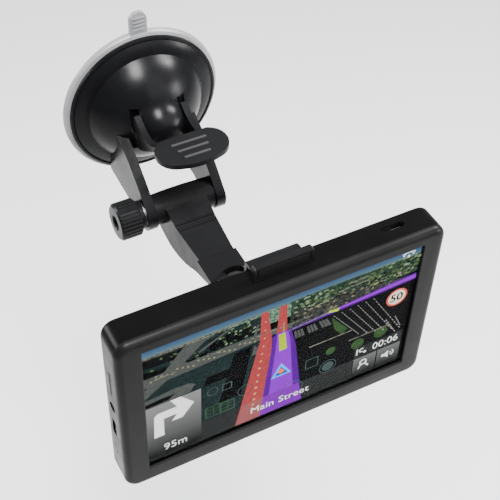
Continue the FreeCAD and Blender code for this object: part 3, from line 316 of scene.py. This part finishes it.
def skin(node, bevel, segments=3, angle=38.0):
    """A finished copy of a CAD solid: flat faces made whole, edges rounded, curved faces smooth."""
    source = NODES[node]
    mesh = source.data.copy()
    mesh.name = node + "_skin"
    build = bmesh.new()
    build.from_mesh(mesh)
    bmesh.ops.remove_doubles(build, verts=build.verts, dist=0.000002)
    bmesh.ops.dissolve_limit(build, angle_limit=math.radians(0.6), verts=build.verts, edges=build.edges)
    for face in build.faces:
        face.smooth = True
    for edge in build.edges:
        edge.smooth = edge.calc_face_angle(0.0) < math.radians(angle)
    build.to_mesh(mesh)
    build.free()
    for name in [attribute.name for attribute in mesh.attributes if attribute.name == "custom_normal"]:
        mesh.attributes.remove(mesh.attributes[name])
    mesh.materials.clear()
    mesh.materials.append(MATERIALS[NODE_MATERIAL[node]])
    piece = bpy.data.objects.new(node + "_skin", mesh)
    bpy.context.scene.collection.objects.link(piece)
    rounding = piece.modifiers.new("rounding", "BEVEL")
    rounding.width = bevel
    rounding.segments = segments
    rounding.limit_method = "ANGLE"
    rounding.angle_limit = math.radians(angle)
    rounding.harden_normals = True
    rounding.use_clamp_overlap = True
    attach(piece, BODY_OF[node])
    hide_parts(node)
    return piece


SKINS = {
    "front_bezel": 0.00012, "rear_cover": 0.00018, "base_cover": 0.0005, "lock_lever": 0.00045,
    "clamp_knob": 0.00018, "extension_arm": 0.0006, "socket_cap": 0.0003, "cradle_latch": 0.0004,
    "cradle_plate": 0.0003, "cradle_stud": 0.0003, "suction_pad": 0.0003, "power_slider": 0.00012,
    "plunger": 0.0002, "ball_liner": 0.0001, "ball": 0.0001, "clamp_washer": 0.0001,
}


def paint_rib_highlight(lever):
    """The ribs raised on the paddle get a lighter grey than the rest of the lever: a painted highlight on
    their rounded tops.
    """
    lever.data.materials.append(MATERIALS["rib_highlight_plastic"])
    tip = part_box("lock_lever")[0][1]
    for face in lever.data.polygons:
        if face.center.z > PADDLE_TOP + 0.15 * MM and face.center.y < tip + 22 * MM:
            face.material_index = 1


def finish_nodes():
    for node, bevel in SKINS.items():
        piece = skin(node, bevel)
        if node == "lock_lever":
            # the paddle's ribs get a painted highlight, a lighter grey material
            paint_rib_highlight(piece)
    for node, material in NODE_MATERIAL.items():
        if node not in SKINS:
            for place in range(len(NODES[node].data.materials)):
                NODES[node].data.materials[place] = MATERIALS[material]


# ---------------------------------------------------------------- the picture on the display

LAYER = 0.005 * MM


def glow(name, tone, mottle=None):
    """A lit colour of the display, over a black panel; mottle is a second tone it blends with in patches."""
    material, tree, shader = new_material("lit_" + name)
    shader.inputs["Base Color"].default_value = (0, 0, 0, 1)
    shader.inputs["Roughness"].default_value = 0.6
    shader.inputs["Specular IOR Level"].default_value = 0.0
    shader.inputs["Emission Strength"].default_value = 1.0
    pixels = noise(tree, 900.0, 4.0) if mottle else noise(tree, 400.0, 2.0)
    second = mottle or tuple(channel * 0.93 for channel in tone)
    tree.links.new(tint(tree, pixels, second, tone), shader.inputs["Emission Color"])
    return material


def fade(name, top, bottom, high, low):
    """A lit colour that changes evenly with height, from high to low in metres."""
    material, tree, shader = new_material("lit_" + name)
    shader.inputs["Base Color"].default_value = (0, 0, 0, 1)
    shader.inputs["Specular IOR Level"].default_value = 0.0
    shader.inputs["Emission Strength"].default_value = 1.0
    place = tree.nodes.new("ShaderNodeTexCoord")
    split = tree.nodes.new("ShaderNodeSeparateXYZ")
    tree.links.new(place.outputs["Object"], split.inputs["Vector"])
    level = spread(tree, split.outputs["Z"], 0.0, 1.0, low, high)
    tree.links.new(tint(tree, level, bottom, top, (0.0, 1.0)), shader.inputs["Emission Color"])
    return material


class Picture:
    """Flat lit shapes on the display. Places are in mm from the middle of the screen, right and up."""

    def __init__(self, body):
        low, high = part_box("lcd_panel")
        self.face = low[1]
        self.across = (low[0] + high[0]) / 2
        self.middle = (low[2] + high[2]) / 2
        self.mesh = bmesh.new()
        self.materials = []
        self.body = body
        self.letters = []

    def index(self, material):
        name = "lit_" + material
        if name not in self.materials:
            self.materials.append(name)
        return self.materials.index(name)

    def point(self, right, up, layer):
        return Vector((self.across + right * MM, self.face - layer * LAYER, self.middle + up * MM))

    def shape(self, points, material, layer):
        corners = [self.mesh.verts.new(self.point(right, up, layer)) for right, up in points]
        face = self.mesh.faces.new(corners)
        face.normal_update()
        if face.normal.y > 0:
            face.normal_flip()
        face.material_index = self.index(material)

    def bar(self, start, end, start_width, end_width, material, layer):
        """A straight band between two points that may widen along its way."""
        run = Vector(end) - Vector(start)
        side = Vector((-run.y, run.x)).normalized()
        first, last = side * start_width / 2, side * end_width / 2
        self.shape([Vector(start) + first, Vector(start) - first, Vector(end) - last, Vector(end) + last],
                   material, layer)

    def path(self, points, width, material, layer):
        for start, end in zip(points, points[1:]):
            self.bar(start, end, width, width, material, layer)

    def around(self, center, radius, turn):
        return center[0] + radius * math.cos(turn), center[1] + radius * math.sin(turn)

    def disc(self, center, radius, material, layer, sides=40):
        turns = [2 * math.pi * step / sides for step in range(sides)]
        self.shape([self.around(center, radius, turn) for turn in turns], material, layer)

    def ring(self, center, radius, width, material, layer, start=0.0, end=360.0, sides=40):
        inner = radius - width
        turns = [math.radians(start + (end - start) * step / sides) for step in range(sides + 1)]
        for first, last in zip(turns, turns[1:]):
            near = [self.around(center, reach, first) for reach in (inner, radius)]
            far = [self.around(center, reach, last) for reach in (radius, inner)]
            self.shape(near + far, material, layer)

    def text(self, words, left, base, height, material, layer, width=1.0, weight=0.0):
        data = bpy.data.curves.new("letters", "FONT")
        data.body = words
        data.size = height * MM * 1.42
        data.resolution_u = 4
        data.space_character = 1.02
        data.offset = weight * MM
        letters = bpy.data.objects.new("letters", data)
        bpy.context.scene.collection.objects.link(letters)
        mesh = bpy.data.meshes.new_from_object(letters)
        bpy.data.objects.remove(letters)
        build = bmesh.new()
        build.from_mesh(mesh)
        for vertex in build.verts:
            vertex.co = self.point(left + vertex.co.x / MM * width, base + vertex.co.y / MM, layer)
        for face in build.faces:
            face.material_index = self.index(material)
        build.to_mesh(mesh)
        build.free()
        self.mesh.from_mesh(mesh)

    def finish(self, name):
        mesh = bpy.data.meshes.new(name)
        for face in self.mesh.faces:
            face.normal_update()
        self.mesh.to_mesh(mesh)
        for material in self.materials:
            mesh.materials.append(MATERIALS[material])
        piece = bpy.data.objects.new(name, mesh)
        bpy.context.scene.collection.objects.link(piece)
        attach(piece, self.body)
        return piece


def make_tones():
    glow("black", (0.0037, 0.0041, 0.0046))
    glow("land", (0.021, 0.043, 0.042), mottle=(0.011, 0.02, 0.021))
    glow("haze", (0.3, 0.52, 0.32), mottle=(0.038, 0.089, 0.083))
    glow("trees", (0.06, 0.11, 0.055), mottle=(0.01, 0.028, 0.024))
    glow("town", (0.088, 0.09, 0.076), mottle=(0.016, 0.021, 0.019))
    glow("road", (0.12, 0.13, 0.12), mottle=(0.087, 0.095, 0.091))
    glow("salmon", (0.7, 0.082, 0.088), mottle=(0.52, 0.071, 0.074))
    glow("route", (0.42, 0.0, 1.0))
    glow("route_edge", (0.14, 0.0, 0.42))
    glow("lime", (0.70, 0.92, 0.0))
    glow("leaf", (0.13, 0.21, 0.07))
    glow("leaf_pale", (0.34, 0.46, 0.26))
    glow("ground", (0.012, 0.03, 0.026))
    glow("star", (0.40, 0.38, 0.18))
    glow("lamp", (0.95, 0.62, 0.25))
    glow("white", (1.7, 1.7, 1.7))
    glow("dash", (0.52, 0.52, 0.50))
    glow("label", (0.33, 0.34, 0.24), mottle=(0.087, 0.088, 0.076))
    glow("ghost", (0.06, 0.10, 0.098))
    glow("ghost_green", (0.049, 0.13, 0.033), mottle=(0.026, 0.075, 0.023))
    glow("bar", (0.036, 0.04, 0.04), mottle=(0.024, 0.027, 0.026))
    glow("bar_route", (0.31, 0.01, 0.68))
    glow("bar_salmon", (0.51, 0.14, 0.14))
    glow("sign", (1.6, 1.35, 1.2))
    glow("sign_ring", (1.11, 0.15, 0.086))
    glow("ink", (0.004, 0.004, 0.004))
    glow("cyan", (0, 0.77, 2.72))
    glow("blue", (0.031, 0.082, 0.37))
    glow("orange", (2.02, 0.32, 0))
    glow("far_line", (0.37, 0.081, 0.068), mottle=(0.053, 0.063, 0.062))


def make_picture():
    make_tones()
    random.seed(5)
    low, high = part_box("lcd_panel")
    middle = (low[2] + high[2]) / 2
    fade("sky", (0.0399, 0.0976, 0.263), (0.143, 0.27, 0.302), middle + 32.0 * MM, middle + 27.5 * MM)
    fade("panel", (0.36, 0.37, 0.36), (0.0159, 0.0175, 0.0172), middle + 1.0 * MM, middle - 30.0 * MM)
    fade("button", (0.22, 0.22, 0.22), (0.0219, 0.0239, 0.0239), middle - 21.0 * MM, middle - 31.5 * MM)
    view = Picture("navigator")
    draw_land(view)
    draw_roads(view)
    draw_signs(view)
    view.finish("map_picture")


def draw_land(view):
    """Sky, far hills and the dark ground either side of the roads."""
    left, right, top, bottom = -55.6, 55.6, 32.8, -32.8
    view.shape([(left, bottom), (right, bottom), (right, top), (left, top)], "black", 1)
    view.shape([(left, 27.4), (right, 27.4), (right, top), (left, top)], "sky", 2)
    view.shape([(left, 28.0), (right, 28.8), (right, 20.0), (left, 22.0)], "haze", 3)
    view.shape([(left, -32), (-12, -32), (-8, 27.0), (left, 27.0)], "land", 4)
    view.bar((left, 27.4), (-12, 27.9), 0.6, 0.4, "far_line", 5)
    view.shape([(2, 28.4), (18, 28.8), (right, 28.2), (right, 19.0), (2, 17.5)], "trees", 4)
    view.shape([(3, 23.5), (14, 22.6), (31, 22.0), (44, 18.5), (right, 17.4), (right, 12.5), (3, 13.5)],
               "town", 5)
    for points in (
        [(left, 20.5), (-37, 18.5), (-26, 20), (-35, 16.5), (-47, 14.5), (left, 15.0)],
        [(left, 26.6), (-41, 26.0), (-33, 25.0), (-42, 21.5), (left, 22.5)],
        [(-31, 4.5), (-20.5, 4.8), (-22, 0.0), (-32, -0.2)],
        [(-20, 12.2), (-13, 12.6), (-17, -14), (-26, -14)],
        [(-30, 24.4), (-14, 24.0), (-12, 18.4), (-30, 18.2)],
    ):
        view.shape(points, "black", 6)
    view.shape([(4.5, 12.6), (right, 15.0), (right, bottom), (9.5, bottom)], "black", 6)
    view.shape([(19.5, 11.0), (22.5, 7.0), (27.5, 0.5), (25.0, -1.8), (21.5, 3.0)], "ghost_green", 7)
    for center, radius in (((33.2, -12.0), 3.0), ((43.4, -10.5), 3.2), ((21, -9.4), 2.2)):
        view.disc(center, radius, "ghost_green", 7, 9)
    scatter(view, (3, 19), (20.5, 28.0), 90, ("leaf_pale", "leaf", "ground", "leaf_pale"), 1.7)
    scatter(view, (34, 55), (19.0, 28.0), 80, ("leaf", "leaf", "ground", "black", "leaf_pale"), 1.9)
    scatter(view, (19, 40), (19.5, 27.5), 60, ("ground", "black", "label", "leaf"), 1.6)
    scatter(view, (3, 52), (13.8, 22.0), 150, ("label", "ground", "road", "star", "black"), 1.6)
    scatter(view, (-28, -10), (18.0, 27.0), 70, ("leaf", "ground", "ground", "leaf_pale"), 1.6)
    scatter(view, (-54, -28), (16.0, 26.0), 26, ("ground", "road", "leaf"), 1.7)


def scatter(view, across, upright, count, tones, size):
    """Small flat blots: far trees, roofs and the crowded names of far streets."""
    for _ in range(count):
        x, y = random.uniform(*across), random.uniform(*upright)
        wide, high = random.uniform(0.5, 1.0) * size, random.uniform(0.25, 0.6) * size
        tilt = random.uniform(-0.3, 0.3)
        view.shape([(x, y), (x + wide, y + tilt), (x + wide * 0.8, y + high + tilt),
                    (x + wide * 0.15, y + high)],
                   random.choice(tones), 7)


def draw_roads(view):
    left, right = -55.6, 55.6
    view.shape([(-39, 27.0), (-30, 27.0), (-44, 13.6), (left, 4.8), (left, 10.0), (-48, 15.8)], "road", 8)
    view.shape([(left, 16.8), (-30, 17.6), (-10, 17.8), (3, 17.0), (3, 14.0), (-10, 14.0), (-38, 12.4),
                (left, 11.6)],
               "road", 9)
    view.shape([(left, 4.4), (-44, 5.8), (-37.5, 5.4), (-35.4, 3.6), (-37.2, 0.4), (-44.5, -0.6),
                (left, -1.0)],
               "road", 9)
    view.shape([(left, 2.2), (-49, 2.8), (-43, 2.8), (-46, 0.6), (left, 0.2)], "black", 10)
    for start, end in (((-42, 23.6), (-28, 26.8)), ((-34, 20.5), (-22, 26.6)), ((-13, 14), (-11, 23))):
        view.bar(start, end, 1.3, 0.7, "road", 9)
    for step in range(11):
        start = (4.4 + 1.28 * step, 11.2)
        if step % 4 != 3:
            view.bar(start, (start[0] + 0.8 + 0.14 * step, 6.8), 0.9, 1.1, "road", 9)
    for step in range(3):
        view.bar((-11.8 + step * 0.6, 11.8 - step), (-12.6 + step * 0.6, 6.8), 0.8, 1.0, "road", 9)
    draw_dashes(view)
    # the road beside the route, and its far end
    view.shape([(-9.9, 28.4), (-7.2, 28.4), (-5.2, 13.0), (-5.0, 8.0), (-7.2, -32.6), (-19.0, -32.6),
                (-10.0, 13.0)],
               "salmon", 11)
    view.shape([(-2.6, 28.2), (0.2, 28.2), (1.0, 13.6), (-3.4, 13.6)], "salmon", 11)
    # the route: a deep edge with a bright middle, and its turn to the right
    view.shape([(-5.0, 12.6), (-2.6, 14.2), (2.8, 12.6), (5.0, 4.0), (9.8, -32.6), (-8.6, -32.6),
                (-5.2, 4.0)],
               "route_edge", 12)
    view.shape([(-3.0, 13.6), (1.4, 13.4), (2.6, 8.0), (6.4, -32.6), (-5.8, -32.6), (-3.3, 6.0)], "route", 13)
    view.bar((0.6, 12.9), (55.4, 16.2), 1.3, 3.4, "route_edge", 12)
    view.bar((1.6, 12.9), (19.5, 14.5), 0.5, 0.8, "label", 13)
    view.bar((19.5, 14.3), (55.4, 16.2), 0.9, 2.2, "route", 13)
    view.bar((18.0, 14.6), (22.4, 14.0), 1.0, 1.8, "lime", 14)
    view.shape([(-2.4, 12.7), (0.3, 12.9), (1.5, 3.2), (-1.7, 3.0)], "lime", 14)
    view.bar((-0.6, 19.0), (-0.4, 13.2), 0.5, 0.8, "star", 14)
    for step in range(13):
        up = 23.0 - 4.6 * step + 0.06 * step * step
        view.disc((-8.1 - max(0, 13 - up) * 0.098, up), 0.34 + 0.03 * step, "lamp", 14, 6)
    for step in range(22):
        view.disc((-52 + 2.0 * step, 14.4 + 2.4 * ((step * 7) % 4) / 4), 0.5, "star", 10, 6)
    for start, length in (((-51, 14.8), 8.5), ((-32, 16.6), 7.5), ((-13.5, 16.6), 12), ((2, 16.4), 9),
                          ((11.0, -1.9), 18.5), ((28.8, -7.7), 18.0), ((25, 26.4), 9), ((24, 24.2), 10)):
        view.bar(start, (start[0] + length, start[1] + 0.1), 0.55, 0.55, "label", 15)


def draw_dashes(view):
    """White dashed lines that fan out towards the viewer."""
    dashes = 12
    for line in range(6):
        start = Vector((20.5 + 3.4 * line, 11.2 + 0.2 * line))
        end = Vector((33.5 + 3.9 * line, -6.5 - 1.4 * line))
        for dash in range(dashes):
            first = start.lerp(end, dash / dashes)
            last = start.lerp(end, (dash + 0.5) / dashes)
            width = 0.24 + 0.012 * dash
            view.bar(first, last, width, width, "dash", 10)
    for line in range(2):
        start, end = Vector((45.0 + 4.2 * line, -4.0)), Vector((50.8 + 1.8 * line, -14.5 + 3.0 * line))
        for dash in range(6):
            view.bar(start.lerp(end, dash / 6), start.lerp(end, (dash + 0.5) / 6), 0.45, 0.45, "dash", 10)


def draw_ghosts(view):
    """Faint outlines of the map's place marks."""
    for center, radius in (((-28.6, -5.0), 2.2), ((-15.2, -12.0), 3.2), ((20.5, -18.5), 3.8),
                           ((5.0, -24.0), 5.0)):
        view.ring(center, radius, 0.35, "ghost", 15)
    for center, half in (((-22.8, -5.2), 1.8), ((13.0, -12.2), 2.6), ((-28.5, -17.0), 3.0),
                         ((-22.5, -17.5), 2.8)):
        x, y = center
        view.path([(x - half, y - half), (x + half, y - half), (x + half, y + half), (x - half, y + half),
                   (x - half, y - half)], 0.4, "ghost", 15)
    view.disc((20.5, -18.5), 2.6, "ghost", 15)
    for step in range(4):
        view.bar((-31 + 2.9 * step, -20.3), (-31 + 2.9 * step, -14.0), 0.35, 0.35, "ghost_green", 15)
        view.bar((-31.4, -20.0 + 2 * step), (-19.6, -20.0 + 2 * step), 0.3, 0.3, "ghost_green", 15)


def draw_signs(view):
    bottom = -32.8
    draw_ghosts(view)
    # translucent bar along the bottom, tinted by the roads under it
    view.shape([(-33.2, bottom), (32.3, bottom), (32.3, -21.4), (-33.2, -21.4)], "bar", 10)
    view.shape([(-16.3, -21.4), (-7.0, -21.4), (-7.6, bottom), (-19.0, bottom)], "bar_salmon", 14)
    view.shape([(-7.6, -21.4), (8.0, -21.4), (9.8, bottom), (-8.6, bottom)], "bar_route", 14)
    view.text("Main Street", -12.8, -29.0, 3.7, "white", 16, 1.02)
    # turn panel with its arrow and distance
    view.shape([(-55.6, bottom), (-33.2, bottom), (-33.2, -0.3), (-55.6, -0.3)], "panel", 15)
    view.shape([(-52.0, -19.4), (-48.0, -19.4), (-48.0, -9.4), (-42.6, -9.4), (-44.9, -12.8), (-40.6, -12.8),
                (-36.0, -6.4), (-41.0, -0.4), (-45.2, -0.4), (-42.6, -5.2), (-50.2, -5.2),
                (-51.6, -6.4)], "white", 17)
    view.text("95m", -48.6, -29.2, 4.0, "white", 17, 0.96)
    # position marker
    view.shape([(-0.4, -4.6), (-4.4, -12.2), (4.0, -12.2)], "cyan", 16)
    view.shape([(-0.4, -6.8), (-3.0, -11.4), (2.6, -11.4)], "blue", 17)
    view.shape([(-0.4, -7.8), (-1.9, -9.9), (-0.4, -10.6), (1.2, -9.9)], "orange", 18)
    # speed sign
    view.disc((48.2, 7.6), 4.6, "sign_ring", 16)
    view.disc((48.2, 7.6), 3.75, "sign", 17)
    view.text("50", 45.2, 5.6, 4.1, "ink", 18, 0.98, 0.14)
    # time and the two buttons
    view.shape([(32.3, -14.6), (54.2, -14.6), (54.2, -21.2), (32.3, -21.2)], "bar", 14)
    view.text("00:06", 40.5, -19.7, 3.9, "white", 16, 0.96)
    for left in (32.5, 43.5):
        view.shape([(left, bottom), (left + 10.5, bottom), (left + 10.5, -21.6), (left, -21.6)], "button", 15)
    view.ring((37.2, -25.4), 1.7, 0.6, "white", 17)
    view.bar((38.3, -26.7), (39.8, -28.8), 0.7, 0.7, "white", 17)
    view.bar((36.2, -26.8), (35.2, -28.8), 0.7, 0.7, "white", 17)
    view.shape([(45.8, -26.0), (47.2, -26.0), (49.0, -24.6), (49.0, -28.8), (47.2, -27.4), (45.8, -27.4)],
               "white", 17)
    for radius in (1.3, 2.4):
        view.ring((49.2, -26.7), radius, 0.45, "white", 17, -50, 50, 12)
    view.ring((35.6, -17.2), 1.2, 0.5, "white", 16, 40, 300, 16)
    view.bar((33.6, -15.8), (33.6, -19.4), 0.6, 0.6, "white", 16)
    view.disc((37.2, -18.8), 0.7, "white", 16, 12)
    # reception mark
    for side in (-2.0, 2.0):
        view.path([(50.2 + side, 29.4), (50.9 + side, 30.9), (49.5 + side, 30.9), (50.2 + side, 29.4)],
                  0.3, "white", 16)
    view.bar((48.4, 31.0), (52.0, 31.0), 0.3, 0.3, "white", 16)
    view.shape([(49.9, 29.6), (50.7, 29.6), (50.9, 28.4), (49.7, 28.4)], "white", 16)


make_camera()
make_floor()
make_light()
make_materials()
finish_nodes()
make_picture()
